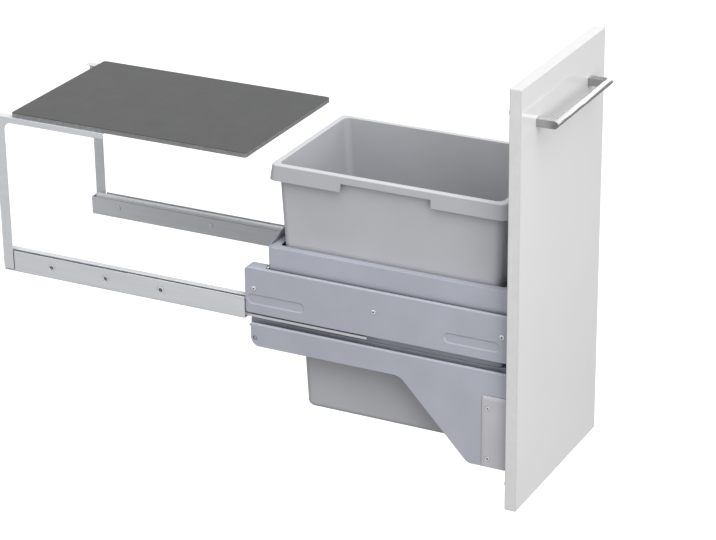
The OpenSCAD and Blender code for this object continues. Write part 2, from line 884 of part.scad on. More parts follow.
module carrier_rivets() {
    color("#b9bec4") both_hands() on_carriage() for (y = foot_rivet_ys)
        translate([-foot_rivet_x, y, carrier_high - sheet]) {
            cylinder(d = rivet_d, h = 2 * sheet);
            translate([0, 0, 2 * sheet]) cylinder(d = 5, h = 0.9);
            translate([0, 0, -0.9]) cylinder(d = 5, h = 0.9);
        }
}

module rear_cross_rail() {
    x = panel_in - sheet / 2;
    color("#a3a9b3") on_carriage() difference() {
        along_z(cross_low, cross_high - cross_low) folded([[-x, cross_y - cross_wing], [-x, cross_y],
            [x, cross_y], [x, cross_y - cross_wing]], sheet, fold_r);
        for (i = [-1:1]) translate([80 * i, 0, (cross_low + cross_high) / 2])
            along_y(cross_y - 3, 6) slot(46, 8);
    }
}

module front_cross_plate() {
    x = panel_in - sheet / 2;
    color("#a3a9b3") on_carriage() difference() {
        along_z(carrier_low + 4, front_plate_h) folded([[-x, bolt_y + 12], [-x, sheet / 2],
            [x, sheet / 2], [x, bolt_y + 12]], sheet, fold_r);
        for (s = [-1, 1], h = bolt_hs) translate([s * x - 3, bolt_y, h]) pin_x(0, 6, bolt_d + screw_play);
        translate([0, 0, carrier_low + 4 + front_plate_h / 2]) along_y(-3, 8) round_rect(170, 64, 10);
        for (s = [-1, 1], h = low_screw_hs) translate([s * low_screw_x, 0, h])
            pin_y(-2, 6, screw_d + screw_play);
    }
}

// wedge that slopes one border of the pad, seen along the border
module pad_border(end) {
    polygon([[-half_opening - 1, end - pad_slope], [-pad_face, end - pad_slope], [-panel_out - 0.3, end],
        [-panel_out - 0.3, end + 1], [-half_opening - 1, end + 1]]);
}

module left_door_plate() {
    top = carrier_low + 1 + door_plate_h;
    color("#abb0b9") on_carriage() difference() {
        translate([0, 0.5, carrier_low + 1]) along_x(-pad_face, pad_rise) rounded([[0, 0],
            [door_plate_len - 0.5, 0], [door_plate_len - 0.5, door_plate_h - 4],
            [door_plate_len - 4.5, door_plate_h], [0, door_plate_h]], [1, 3, 2, 2, 1]);
        along_y(-1, door_plate_len + 2) pad_border(top);
        along_z(carrier_low, door_plate_h + 2) pad_border(door_plate_len);
        for (h = bolt_hs) translate([0, bolt_y, h]) {
            pin_x(-pad_face - 1, 5, bolt_d + screw_play);
            pin_x(-pad_face - 1, 1 + head_t, head_d + screw_play);
        }
    }
}

module right_door_plate() {
    right_hand() left_door_plate();
}

module carrier_bolts() {
    start = head_t - 0.1 - pad_face;
    color("#9aa0a6") both_hands() on_carriage() for (h = bolt_hs) translate([0, bolt_y, h])
        difference() {
            union() {
                pin_x(-pad_face, head_t, head_d);
                pin_x(start, 6 - panel_in - start, bolt_d);
            }
            hex_hole(-pad_face, 3);
        }
}

module carrier_nuts() {
    color("#9aa0a6") both_hands() on_carriage() for (h = bolt_hs) translate([0, bolt_y, h])
        difference() {
            translate([-panel_in + sheet, 0, 0]) rotate([0, 90, 0])
                cylinder(d = nut_d + 1.5, h = 4, $fn = 6);
            pin_x(-panel_in, 8, bolt_d + thread_play);
        }
}

module left_upper_bracket() {
    t = bracket_t;
    x = panel_in - t / 2;
    color("#abb0b9") on_carriage() difference() {
        along_z(bracket_low, bracket_high - bracket_low) folded([[-x, 34], [-x, t / 2],
            [10 - high_screw_x, t / 2]], t, fold_r);
        translate([-panel_in - 1, panel_screw_ys[0], panel_screw_h]) pin_x(0, 4, screw_d + screw_play);
        for (h = high_screw_hs) translate([-high_screw_x, 0, h]) pin_y(-2, 6, screw_d + screw_play);
    }
}

module right_upper_bracket() {
    right_hand() left_upper_bracket();
}

// door front

module door_screws() {
    color("#8f959b") both_hands() on_carriage() {
        for (h = low_screw_hs) translate([-low_screw_x, 0, h]) door_screw(sheet);
        for (h = high_screw_hs) translate([-high_screw_x, 0, h]) door_screw(bracket_t);
    }
}

module door_screw(seat) {
    difference() {
        union() {
            pin_y(seat, 2, 7.5);
            pin_y(seat - screw_depth, screw_depth + 0.5, screw_d);
        }
        translate([0, seat + 0.8, 0]) rotate([-90, 0, 0]) cylinder(d = 3, h = 3, $fn = 6);
    }
}

module door_front() {
    color("#dfe0e2") on_carriage() difference() {
        translate([0, -door_t / 2, 0]) along_z(0, door_h) round_rect(door_w, door_t, door_edge_r);
        for (s = [-1, 1], h = low_screw_hs) translate([s * low_screw_x, 0, h])
            pin_y(-screw_depth, screw_depth + 1, screw_d + thread_play);
        for (s = [-1, 1], h = high_screw_hs) translate([s * high_screw_x, 0, h])
            pin_y(-screw_depth, screw_depth + 1, screw_d + thread_play);
        for (s = [-1, 1]) translate([s * handle_span / 2, 0, handle_h])
            pin_y(-door_t - 1, door_t + 2, handle_screw_d + 0.5);
    }
}

module handle() {
    y0 = -door_t;
    y1 = y0 - handle_reach;
    h = bar_h / 2;
    w = handle_span + leg_w;
    color("#c8c9cb") on_carriage() translate([0, 0, handle_h]) difference() {
        union() {
            along_x(-w / 2, w) rounded([[y1 + bar_d, -h], [y1 + bar_d, h], [y1 + 5.5, h], [y1, 1.5],
                [y1 + 7, -h]], [0.6, 0.6, 4, 2.5, 3]);
            for (s = [-1, 1]) translate([s * handle_span / 2, 0, 0]) along_y(y1 + 5, handle_reach - 5)
                round_rect(leg_w, leg_h - 1, 1);
        }
        for (s = [-1, 1]) translate([s * handle_span / 2, 0, 0])
            pin_y(y0 - 16, 17, handle_screw_d + thread_play);
    }
}

module handle_screws() {
    color("#8f959b") on_carriage() for (s = [-1, 1]) translate([s * handle_span / 2, 0, handle_h])
        difference() {
            union() {
                pin_y(0, 2.4, 8);
                pin_y(-door_t - screw_depth, door_t + screw_depth + 0.5, handle_screw_d);
            }
            translate([0, 1, 0]) rotate([-90, 0, 0]) cylinder(d = 3, h = 3, $fn = 6);
        }
}

module door_buffers() {
    color("#d8dadb") on_carriage() for (s = [-1, 1], h = [40, door_h - 35])
        translate([s * (door_w / 2 - 7.5), 0, h]) pin_y(0, door_gap - 0.3, 8);
}

// bin

module bin_pads() {
    color("#3a3d40") both_hands() on_carriage() for (y = pad_ys)
        translate([-foot_in + 0.4, y, carrier_high + sheet]) mirror([1, 0, 0])
            translate([0, -12, 0]) cube([5, 24, 2]);
}

module plate(w, y_half, r, z) {
    translate([0, rim_mid, z]) linear_extrude(0.1) round_rect(w, 2 * y_half, r);
}

// skirt of the rim, wider at its lower edge
module rim_body(inset, z0, z1) {
    out = rim_flare - inset;
    hull() {
        plate(rim_w - 2 * inset, rim_len / 2 - inset, rim_r - inset, z1 - 0.1, $fn = 32);
        plate(rim_w + 2 * out, rim_len / 2 + out, rim_r + out, z0, $fn = 32);
    }
}

module upper_body(inset, z0, z1) {
    half_l = rim_len / 2 - end_inset - inset;
    hull() {
        plate(bin_top_w - 2 * inset, half_l, corner_r - inset, z1 - 0.1, $fn = 32);
        plate(bin_shoulder_w - 2 * inset, half_l - end_taper, corner_r - inset, z0, $fn = 32);
    }
}

module lower_body(inset, z0, z1) {
    half_l = rim_len / 2 - end_inset - end_taper - end_step;
    hull() {
        plate(bin_waist_w - 2 * inset, half_l - inset, corner_r - inset, z1 - 0.1, $fn = 32);
        for (x = [-1, 1], y = [-1, 1]) translate([x * (bin_foot_w / 2 - foot_r),
            rim_mid + y * (half_l - foot_taper - foot_r), z0 + foot_r - inset])
            sphere(r = foot_r - inset, $fn = 32);
    }
}

module bin() {
    color("#a9acb0") on_carriage() difference() {
        union() {
            upper_body(0, shoulder_h, rim_high - 0.5);
            lower_body(0, bin_low, shoulder_h + 0.6);
            difference() {
                rim_body(0, rim_high - skirt_deep, rim_high);
                rim_body(bin_wall, rim_high - skirt_deep - 1, rim_high - bin_wall);
                for (s = [-1, 1]) translate([s * rim_w / 2 - 10, rim_mid - notch_len / 2,
                    rim_high - skirt_deep - 1]) cube([20, notch_len, skirt_deep - skirt_short + 1]);
            }
        }
        upper_body(bin_wall, shoulder_h + bin_wall, rim_high + 1);
        lower_body(bin_wall, bin_low + bin_wall, shoulder_h + bin_wall + 0.6);
    }
}

left_wall_rail();
right_wall_rail();
left_cabinet_slide();
right_cabinet_slide();
slide_rivets();
rear_buffers();
left_lid_bracket();
right_lid_bracket();
lid_bracket_rivets();
lid();
lid_screws();
lid_nuts();
left_outer_ball_cage();
right_outer_ball_cage();
left_outer_balls();
right_outer_balls();
left_middle_slide();
right_middle_slide();
left_inner_ball_cage();
right_inner_ball_cage();
left_inner_balls();
right_inner_balls();
left_drawer_slide();
right_drawer_slide();
left_side_panel();
right_side_panel();
tray_ring();
rear_brace();
brace_rivets();
panel_spacers();
panel_screws();
panel_nuts();
left_carrier();
right_carrier();
left_carrier_angle();
right_carrier_angle();
carrier_rivets();
rear_cross_rail();
front_cross_plate();
left_door_plate();
right_door_plate();
carrier_bolts();
carrier_nuts();
left_upper_bracket();
right_upper_bracket();
door_screws();
door_front();
handle();
handle_screws();
door_buffers();
bin_pads();
bin();
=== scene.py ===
# Pull-out waste bin unit, shown fully pulled out: finishes, rounded pieces, light and camera.
import json
import math

import bmesh
import bpy
from mathutils import Matrix, Vector


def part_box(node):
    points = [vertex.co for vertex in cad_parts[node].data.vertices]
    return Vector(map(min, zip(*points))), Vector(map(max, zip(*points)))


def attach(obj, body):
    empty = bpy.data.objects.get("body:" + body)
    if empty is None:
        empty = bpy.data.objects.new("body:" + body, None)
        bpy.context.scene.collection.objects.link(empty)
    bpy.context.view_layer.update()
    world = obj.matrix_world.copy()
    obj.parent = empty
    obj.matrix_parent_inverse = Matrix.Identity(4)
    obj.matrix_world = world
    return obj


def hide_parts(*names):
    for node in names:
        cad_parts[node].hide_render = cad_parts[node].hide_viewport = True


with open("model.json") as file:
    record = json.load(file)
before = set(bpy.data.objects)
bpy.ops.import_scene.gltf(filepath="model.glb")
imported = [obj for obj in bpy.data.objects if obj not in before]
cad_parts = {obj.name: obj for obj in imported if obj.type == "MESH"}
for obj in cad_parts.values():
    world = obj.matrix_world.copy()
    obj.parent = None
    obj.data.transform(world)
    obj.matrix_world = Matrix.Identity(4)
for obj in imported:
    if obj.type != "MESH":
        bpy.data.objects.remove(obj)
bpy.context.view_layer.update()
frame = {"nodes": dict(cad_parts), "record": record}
scene = bpy.context.scene
scene.view_settings.view_transform = "Standard"

# the unit in metres, read from the frame
doorLow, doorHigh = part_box("door_front")
binLow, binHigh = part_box("bin")
binMiddleY = (binLow.y + binHigh.y) / 2
bodyOf = {name: body for body, names in frame["record"]["behaviour"]["bodies"].items() for name in names}
slotOf = {part["node"]: part["material_slot"] for part in frame["record"]["subparts"]}
print("frame loaded:", len(frame["nodes"]), "nodes")


# finishes: lengths in metres, roughness as a pair where a pattern varies it

def startMaterial(name, metal=0.0, roughness=0.5):
    material = bpy.data.materials.new(name)
    material.use_nodes = True
    nodes = material.node_tree.nodes
    nodes.clear()
    shader = nodes.new("ShaderNodeBsdfPrincipled")
    output = nodes.new("ShaderNodeOutputMaterial")
    material.node_tree.links.new(shader.outputs["BSDF"], output.inputs["Surface"])
    shader.inputs["Metallic"].default_value = metal
    shader.inputs["Roughness"].default_value = roughness
    return material, shader


# a darker and a lighter shade of one tone
def shadesOf(tone, spread):
    return [c * (1 - spread) for c in tone], [c * (1 + spread) for c in tone]


# one texture on object coordinates, drawn out or squeezed by stretch
def placedPattern(material, scale, stretch=(1, 1, 1), detail=2.0, kind="ShaderNodeTexNoise"):
    nodes, links = material.node_tree.nodes, material.node_tree.links
    where = nodes.new("ShaderNodeTexCoord")
    mapping = nodes.new("ShaderNodeMapping")
    mapping.inputs["Scale"].default_value = stretch
    pattern = nodes.new(kind)
    pattern.inputs["Scale"].default_value = scale
    pattern.inputs["Detail"].default_value = detail
    links.new(where.outputs["Object"], mapping.inputs["Vector"])
    links.new(mapping.outputs["Vector"], pattern.inputs["Vector"])
    return pattern


# a value carried over from one range to another
def spreadRange(tree, value, source, target=(0, 1), kind="LINEAR"):
    spread = tree.nodes.new("ShaderNodeMapRange")
    spread.interpolation_type = kind
    for socketName, limit in zip(("From Min", "From Max", "To Min", "To Max"), (*source, *target)):
        spread.inputs[socketName].default_value = limit
    tree.links.new(value, spread.inputs["Value"])
    return spread.outputs["Result"]


# dark below the first stop of the pattern's value, light above the second
def varyColour(material, shader, pattern, dark, light, stops=(0.35, 0.65)):
    nodes, links = material.node_tree.nodes, material.node_tree.links
    ramp = nodes.new("ShaderNodeValToRGB")
    for stop, position, colour in zip(ramp.color_ramp.elements, stops, (dark, light)):
        stop.position = position
        stop.color = (*colour, 1)
    links.new(pattern.outputs[0], ramp.inputs["Fac"])
    links.new(ramp.outputs["Color"], shader.inputs["Base Color"])


# painted shade: the colour darkens towards a shade tone where ambient occlusion finds narrow gaps and
# corners
def paintedGapShade(material, shader, shade, reach, opening=(0.35, 0.8)):
    tree = material.node_tree
    colour = shader.inputs["Base Color"].links[0].from_socket
    nearby = tree.nodes.new("ShaderNodeAmbientOcclusion")
    nearby.samples = 8
    nearby.inputs["Distance"].default_value = reach
    mix = tree.nodes.new("ShaderNodeMix")
    mix.data_type = "RGBA"
    colourInputs = [s for s in mix.inputs if s.type == "RGBA"]
    colourInputs[0].default_value = (*shade, 1)
    tree.links.new(spreadRange(tree, nearby.outputs["AO"], opening), mix.inputs["Factor"])
    tree.links.new(colour, colourInputs[1])
    tree.links.new([s for s in mix.outputs if s.type == "RGBA"][0], shader.inputs["Base Color"])


def varyRoughness(material, shader, pattern, roughness, stops=(0.3, 0.7)):
    rough = spreadRange(material.node_tree, pattern.outputs[0], stops, roughness)
    material.node_tree.links.new(rough, shader.inputs["Roughness"])


def addBump(material, shader, pattern, depth, strength, edge=0.0):
    nodes, links = material.node_tree.nodes, material.node_tree.links
    bump = nodes.new("ShaderNodeBump")
    bump.inputs["Distance"].default_value = depth
    bump.inputs["Strength"].default_value = strength
    links.new(pattern.outputs[0], bump.inputs["Height"])
    if edge:  # edges catch the light as if rounded by this radius
        soft = nodes.new("ShaderNodeBevel")
        soft.samples = 4
        soft.inputs["Radius"].default_value = edge
        links.new(soft.outputs["Normal"], bump.inputs["Normal"])
    links.new(bump.outputs["Normal"], shader.inputs["Normal"])


def powderCoat(name="powderCoat", tone=(0.395, 0.412, 0.468)):
    look = {"spread": 0.035, "cloud": 14, "gapShade": (0.055, 0.07, 0.09), "gapReach": 0.012,
            "gapOpening": (0.4, 0.88), "specular": 0.35, "roughness": (0.46, 0.56), "patches": 60,
            "peel": 650, "peelDepth": 0.00006, "peelStrength": 0.5, "edge": 0.0005}
    material, shader = startMaterial(name)
    shader.inputs["Specular IOR Level"].default_value = look["specular"]
    cloud = placedPattern(material, look["cloud"], detail=3)
    varyColour(material, shader, cloud, *shadesOf(tone, look["spread"]))
    paintedGapShade(material, shader, look["gapShade"], look["gapReach"], look["gapOpening"])
    varyRoughness(material, shader, placedPattern(material, look["patches"]), look["roughness"])
    peel = placedPattern(material, look["peel"])
    addBump(material, shader, peel, look["peelDepth"], look["peelStrength"], look["edge"])
    return material


def zincPlate():
    look = {"dark": (0.65, 0.67, 0.70), "light": (0.71, 0.73, 0.76), "stops": (0.2, 0.8),
            "streak": 22, "streakStretch": (9, 0.5, 9), "gapShade": (0.16, 0.17, 0.18), "gapReach": 0.004,
            "metal": 0.2, "roughness": (0.3, 0.4), "grain": 400, "grainStretch": (3, 0.2, 3),
            "grainDepth": 0.00002, "grainStrength": 0.3, "edge": 0.0005}
    material, shader = startMaterial("zincPlate", look["metal"])
    streak = placedPattern(material, look["streak"], look["streakStretch"], detail=3)
    varyColour(material, shader, streak, look["dark"], look["light"], look["stops"])
    paintedGapShade(material, shader, look["gapShade"], look["gapReach"])
    varyRoughness(material, shader, streak, look["roughness"])
    grain = placedPattern(material, look["grain"], look["grainStretch"])
    addBump(material, shader, grain, look["grainDepth"], look["grainStrength"], look["edge"])
    return material


def binPlastic(name="binPlastic", tone=(0.446, 0.451, 0.477)):
    look = {"spread": 0.025, "cloud": 9, "gapShade": (0.16, 0.165, 0.18), "gapReach": 0.008,
            "roughness": (0.40, 0.50), "patches": 45, "grain": 1100, "grainDepth": 0.00005,
            "grainStrength": 0.6}
    material, shader = startMaterial(name)
    varyColour(material, shader, placedPattern(material, look["cloud"]), *shadesOf(tone, look["spread"]))
    paintedGapShade(material, shader, look["gapShade"], look["gapReach"])
    varyRoughness(material, shader, placedPattern(material, look["patches"]), look["roughness"])
    grain = placedPattern(material, look["grain"], kind="ShaderNodeTexVoronoi")
    addBump(material, shader, grain, look["grainDepth"], look["grainStrength"])
    return material


def doorLacquer():
    look = {"dark": (0.775, 0.775, 0.78), "light": (0.795, 0.795, 0.80), "cloud": 6,
            "gapShade": (0.4, 0.4, 0.41), "gapReach": 0.004, "roughness": 0.16, "coat": 0.6,
            "coatRoughness": 0.05, "peel": 35, "peelDepth": 0.00003, "peelStrength": 0.5, "edge": 0.0008}
    material, shader = startMaterial("doorLacquer", roughness=look["roughness"])
    shader.inputs["Coat Weight"].default_value = look["coat"]
    shader.inputs["Coat Roughness"].default_value = look["coatRoughness"]
    varyColour(material, shader, placedPattern(material, look["cloud"]), look["dark"], look["light"])
    paintedGapShade(material, shader, look["gapShade"], look["gapReach"])
    peel = placedPattern(material, look["peel"])
    addBump(material, shader, peel, look["peelDepth"], look["peelStrength"], look["edge"])
    return material


# edge band of the door, matt, and painted greyer than the lacquered front as shade on the door's edges
def doorEdgingAndShade(name="doorEdgingAndShade", tone=0.64):
    look = {"spread": 0.02, "gapShade": 0.5, "gapReach": 0.004, "roughness": 0.42, "grain": 90,
            "grainDepth": 0.00001, "grainStrength": 0.3}
    material, shader = startMaterial(name, roughness=look["roughness"])
    grain = placedPattern(material, look["grain"], detail=3)
    varyColour(material, shader, grain, *shadesOf([tone] * 3, look["spread"]))
    paintedGapShade(material, shader, [tone * look["gapShade"]] * 3, look["gapReach"])
    addBump(material, shader, grain, look["grainDepth"], look["grainStrength"])
    return material


def satinNickel():
    look = {"dark": (0.42, 0.42, 0.425), "light": (0.50, 0.50, 0.505), "metal": 1.0,
            "roughness": (0.20, 0.28), "streak": 60, "streakStretch": (0.5, 14, 14),
            "streakDepth": 0.00001, "streakStrength": 0.2, "edge": 0.0006}
    material, shader = startMaterial("satinNickel", look["metal"])
    streak = placedPattern(material, look["streak"], look["streakStretch"], detail=5)
    varyColour(material, shader, streak, look["dark"], look["light"])
    varyRoughness(material, shader, streak, look["roughness"])
    addBump(material, shader, streak, look["streakDepth"], look["streakStrength"], look["edge"])
    return material


def lidSteel():
    look = {"dark": (0.058, 0.059, 0.060), "light": (0.068, 0.069, 0.070), "stops": (0.2, 0.8),
            "streak": 30, "streakStretch": (1, 8, 1), "specular": 0.25, "roughness": (0.28, 0.34),
            "patches": 25, "grain": 900, "grainDepth": 0.00001, "grainStrength": 0.2, "edge": 0.0008}
    material, shader = startMaterial("lidSteel")
    shader.inputs["Specular IOR Level"].default_value = look["specular"]
    streak = placedPattern(material, look["streak"], look["streakStretch"])
    varyColour(material, shader, streak, look["dark"], look["light"], look["stops"])
    varyRoughness(material, shader, placedPattern(material, look["patches"]), look["roughness"])
    grain = placedPattern(material, look["grain"])
    addBump(material, shader, grain, look["grainDepth"], look["grainStrength"], look["edge"])
    return material


# painted light: the upright edges of the lid get a paler metal than its top
def paintedLightEdge():
    look = {"dark": (0.24, 0.24, 0.245), "light": (0.30, 0.30, 0.305), "metal": 0.3,
            "roughness": (0.28, 0.4), "streak": 220, "streakDepth": 0.00001, "streakStrength": 0.2}
    material, shader = startMaterial("paintedLightEdge", look["metal"])
    streak = placedPattern(material, look["streak"], detail=3)
    varyColour(material, shader, streak, look["dark"], look["light"])
    varyRoughness(material, shader, streak, look["roughness"])
    addBump(material, shader, streak, look["streakDepth"], look["streakStrength"])
    return material


def fastenerSteel(name="fastenerSteel", tone=(0.82, 0.83, 0.85)):
    look = {"spread": 0.049, "cloud": 350, "gapShade": (0.04, 0.04, 0.045), "gapReach": 0.0015, "metal": 0.45,
            "roughness": (0.25, 0.4), "patches": 300, "grain": 900, "grainDepth": 0.00002,
            "grainStrength": 0.4, "edge": 0.0004}
    material, shader = startMaterial(name, look["metal"])
    varyColour(material, shader, placedPattern(material, look["cloud"]), *shadesOf(tone, look["spread"]))
    paintedGapShade(material, shader, look["gapShade"], look["gapReach"])
    varyRoughness(material, shader, placedPattern(material, look["patches"]), look["roughness"])
    grain = placedPattern(material, look["grain"])
    addBump(material, shader, grain, look["grainDepth"], look["grainStrength"], look["edge"])
    return material


def ballSteel():
    look = {"dark": (0.7, 0.7, 0.71), "light": (0.78, 0.78, 0.79), "cloud": 350, "metal": 1.0,
            "roughness": (0.08, 0.16), "patches": 500}
    material, shader = startMaterial("ballSteel", look["metal"])
    varyColour(material, shader, placedPattern(material, look["cloud"]), look["dark"], look["light"])
    varyRoughness(material, shader, placedPattern(material, look["patches"]), look["roughness"])
    return material


def blackRubber():
    look = {"dark": (0.03, 0.031, 0.033), "light": (0.045, 0.046, 0.048), "cloud": 200,
            "roughness": (0.65, 0.85), "patches": 150, "grain": 700, "grainDepth": 0.00008,
            "grainStrength": 0.5}
    material, shader = startMaterial("blackRubber")
    varyColour(material, shader, placedPattern(material, look["cloud"]), look["dark"], look["light"])
    varyRoughness(material, shader, placedPattern(material, look["patches"]), look["roughness"])
    grain = placedPattern(material, look["grain"])
    addBump(material, shader, grain, look["grainDepth"], look["grainStrength"])
    return material


def clearBuffer():
    look = {"dark": (0.76, 0.78, 0.8), "light": (0.8, 0.82, 0.84), "cloud": 120, "clear": 0.5,
            "roughness": (0.15, 0.3), "patches": 250}
    material, shader = startMaterial("clearBuffer")
    shader.inputs["Transmission Weight"].default_value = look["clear"]
    varyColour(material, shader, placedPattern(material, look["cloud"]), look["dark"], look["light"])
    varyRoughness(material, shader, placedPattern(material, look["patches"]), look["roughness"])
    return material


finishes = {"painted_steel": powderCoat(), "zinc_steel": zincPlate(), "bin_plastic": binPlastic(),
            "door_lacquer": doorLacquer(), "handle_steel": satinNickel(), "lid_steel": lidSteel(),
            "fastener_steel": fastenerSteel(), "ball_steel": ballSteel(), "rubber": blackRubber(),
            "clear_buffer": clearBuffer()}
padCoat = powderCoat("padCoat", (0.49, 0.485, 0.52))  # the clamping pads are a little paler than the frame
# painted shade: a nearly black copy of the fastener steel for the inside of the hexagon sockets
socketPaintedShade = fastenerSteel("socketPaintedShade", (0.035, 0.035, 0.038))  # dark inside of the hexagon sockets
for nodeName, slotName in slotOf.items():
    for materialSlot in frame["nodes"][nodeName].material_slots:
        materialSlot.material = finishes[slotName]
print("finishes made:", len(finishes))


# pieces that take the place of their nodes

def addPiece(name, shape, nodeName, smoothAngle=20, finish=None):
    bmesh.ops.recalc_face_normals(shape, faces=shape.faces)
    mesh = bpy.data.meshes.new(name)
    shape.to_mesh(mesh)
    shape.free()
    piece = bpy.data.objects.new(name, mesh)
    scene.collection.objects.link(piece)
    mesh.materials.append(finish or finishes[slotOf[nodeName]])
    mesh.polygons.foreach_set("use_smooth", [True] * len(mesh.polygons))
    mesh.set_sharp_from_angle(angle=math.radians(smoothAngle))
    faceWeights = piece.modifiers.new("faceWeights", "WEIGHTED_NORMAL")  # keeps the flat faces flat
    faceWeights.keep_sharp = True
    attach(piece, bodyOf[nodeName])
    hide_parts(nodeName)
    return piece


# merged copy of a node, its flat faces joined into polygons
def copyOfNode(nodeName):
    shape = bmesh.new()
    shape.from_mesh(frame["nodes"][nodeName].data)
    bmesh.ops.remove_doubles(shape, verts=shape.verts, dist=0.00001)
    bmesh.ops.dissolve_limit(shape, angle_limit=math.radians(0.5), use_dissolve_boundaries=False,
                             verts=shape.verts, edges=shape.edges)
    return shape


def bevelEdges(shape, edges, width, segments=2, clamped=True):
    bmesh.ops.bevel(shape, geom=list(edges), offset=width, offset_type="OFFSET", segments=segments,
                    profile=0.5, affect="EDGES", clamp_overlap=clamped, material=-1)


# edges sharper than an angle, where both ends lie at a fitting place
def sharpEdges(shape, angle=40, fits=None):
    limit = math.radians(angle)
    return [e for e in shape.edges if len(e.link_faces) == 2 and e.calc_face_angle(0) > limit
            and (fits is None or all(fits(v.co) for v in e.verts))]


def vertsOf(geometry):
    return [g for g in geometry if isinstance(g, bmesh.types.BMVert)]


def facesOf(geometry):
    return [g for g in geometry if isinstance(g, bmesh.types.BMFace)]


# sheet metal, each group with the width of its broken edges
def makeSheetMetal():
    groups = [(0.0003, ("tray_ring", "rear_brace", "left_carrier", "right_carrier", "left_carrier_angle",
                        "right_carrier_angle", "rear_cross_rail", "front_cross_plate")),
              (0.0004, ("left_upper_bracket", "right_upper_bracket")),
              (0.00025, ("left_wall_rail", "right_wall_rail")),
              (0.0002, ("left_cabinet_slide", "right_cabinet_slide", "left_middle_slide",
                        "right_middle_slide", "left_drawer_slide", "right_drawer_slide")),
              (0.00025, ("left_lid_bracket", "right_lid_bracket")),
              (0.0004, ("left_door_plate", "right_door_plate"))]
    for width, names in groups:
        for nodeName in names:
            shape = copyOfNode(nodeName)
            bevelEdges(shape, sharpEdges(shape), width, clamped=False)
            finish = padCoat if nodeName.endswith("door_plate") else None
            addPiece(nodeName + "_softened", shape, nodeName, finish=finish)


# lid: the edges of its top are rounded, and its upright faces get the paler material as painted light
def makeLid():
    size = {"edge": 0.0010, "segments": 3, "inside": 0.0003, "near": 0.0001, "upright": 0.2}
    shape = copyOfNode("lid")
    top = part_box("lid")[1].z
    rim = sharpEdges(shape, fits=lambda place: place.z > top - size["near"])
    bevelEdges(shape, rim, size["edge"], size["segments"])
    bevelEdges(shape, sharpEdges(shape), size["inside"], clamped=False)
    for face in shape.faces:
        if abs(face.normal.z) < size["upright"]:
            face.material_index = 1
    lid = addPiece("lid_sheet", shape, "lid")
    lid.data.materials.append(paintedLightEdge())


# side panels: the walls of the pressed beads slope
def makePanel(nodeName, side):
    size = {"edge": 0.0003, "sharp": 24, "slope": 0.0014, "radius": 0.0065, "band": 0.00065,
            "near": 0.00005, "beadZ": 0.0148, "beads": [(-0.041, 0.0455), (-0.3535, 0.0415)]}
    shape = copyOfNode(nodeName)
    low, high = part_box(nodeName)
    outerX = low.x if side < 0 else high.x
    for vert in [v for v in shape.verts if abs(v.co.x - outerX) < size["near"]]:
        for middleY, halfLength in size["beads"]:
            straight = halfLength - size["radius"]
            overY = vert.co.y - middleY
            overZ = vert.co.z - size["beadZ"]
            beyond = overY - max(-straight, min(straight, overY))
            reach = math.hypot(beyond, overZ)
            if abs(reach - size["radius"]) < size["band"]:  # on the rim of this bead
                vert.co.y += size["slope"] * beyond / reach
                vert.co.z += size["slope"] * overZ / reach
    bevelEdges(shape, sharpEdges(shape, size["sharp"]), size["edge"], clamped=False)
    addPiece(nodeName + "_pressed", shape, nodeName)


# draw in the outer rim of each head round its own axis, so that the head is a low cone
def taperHeads(shape):
    size = {"rimRadius": 0.0036, "share": 0.74, "near": 0.00005, "rowStep": 0.03}
    top = max(v.co.x for v in shape.verts)
    heads = {}  # by side of the unit, and by row: no two heads of a side share one step along Y
    for vert in shape.verts:
        if abs(abs(vert.co.x) - top) < size["near"]:
            heads.setdefault((vert.co.x > 0, round(vert.co.y / size["rowStep"])), []).append(vert)
    for head in heads.values():
        middleY = (min(v.co.y for v in head) + max(v.co.y for v in head)) / 2
        middleZ = (min(v.co.z for v in head) + max(v.co.z for v in head)) / 2
        for vert in head:
            if math.hypot(vert.co.y - middleY, vert.co.z - middleZ) > size["rimRadius"]:
                vert.co.y = middleY + (vert.co.y - middleY) * size["share"]
                vert.co.z = middleZ + (vert.co.z - middleZ) * size["share"]


# floor and walls of the hexagon sockets, in heads that face left and right; they take a nearly black
# material as painted shade
def shadeSockets(shape, depth=0.0004, flat=0.99):
    top = max(abs(v.co.x) for v in shape.verts)
    for face in shape.faces:
        middle = face.calc_center_median()
        outwards = face.normal.x * math.copysign(1, middle.x)
        if len(face.edges) == 6 and outwards > flat and abs(middle.x) < top - depth:
            for edge in face.edges:
                for wall in edge.link_faces:
                    wall.material_index = 1


# fasteners: the edges round each head and shank are domed by the width given here
def makeFasteners():
    domes = {"panel_screws": 0.0008, "carrier_bolts": 0.0005, "lid_screws": 0.0007, "door_screws": 0.0008,
             "handle_screws": 0.0008, "slide_rivets": 0.0006, "carrier_rivets": 0.0004,
             "brace_rivets": 0.0004, "lid_bracket_rivets": 0.0004}
    size = {"sharp": 60, "taperedSharp": 24, "shortEdge": 0.0006, "segments": 4}
    for nodeName, dome in domes.items():
        shape = copyOfNode(nodeName)
        sharp = size["sharp"]
        if nodeName == "panel_screws":
            taperHeads(shape)
            sharp = size["taperedSharp"]
        rims = [e for e in sharpEdges(shape, sharp) if e.calc_length() < size["shortEdge"]]
        bevelEdges(shape, rims, dome, size["segments"])
        socketed = nodeName in ("panel_screws", "carrier_bolts")
        if socketed:
            shadeSockets(shape)
        fastener = addPiece(nodeName + "_domed", shape, nodeName, smoothAngle=35)
        if socketed:
            fastener.data.materials.append(socketPaintedShade)


# flat plate with round corners, the first face of a ring-by-ring form
def roundedPlate(shape, ring, segments):
    halfWidth, halfLength, corner, z = ring
    plate = bmesh.ops.create_grid(shape, x_segments=1, y_segments=1, size=1)
    bmesh.ops.scale(shape, verts=plate["verts"], vec=(halfWidth, halfLength, 1))
    bmesh.ops.bevel(shape, geom=plate["verts"], offset=corner, offset_type="OFFSET", segments=segments,
                    profile=0.5, affect="VERTICES", material=-1)
    bmesh.ops.translate(shape, verts=shape.verts, vec=(0, binMiddleY, z))
    return shape.faces[:][0]


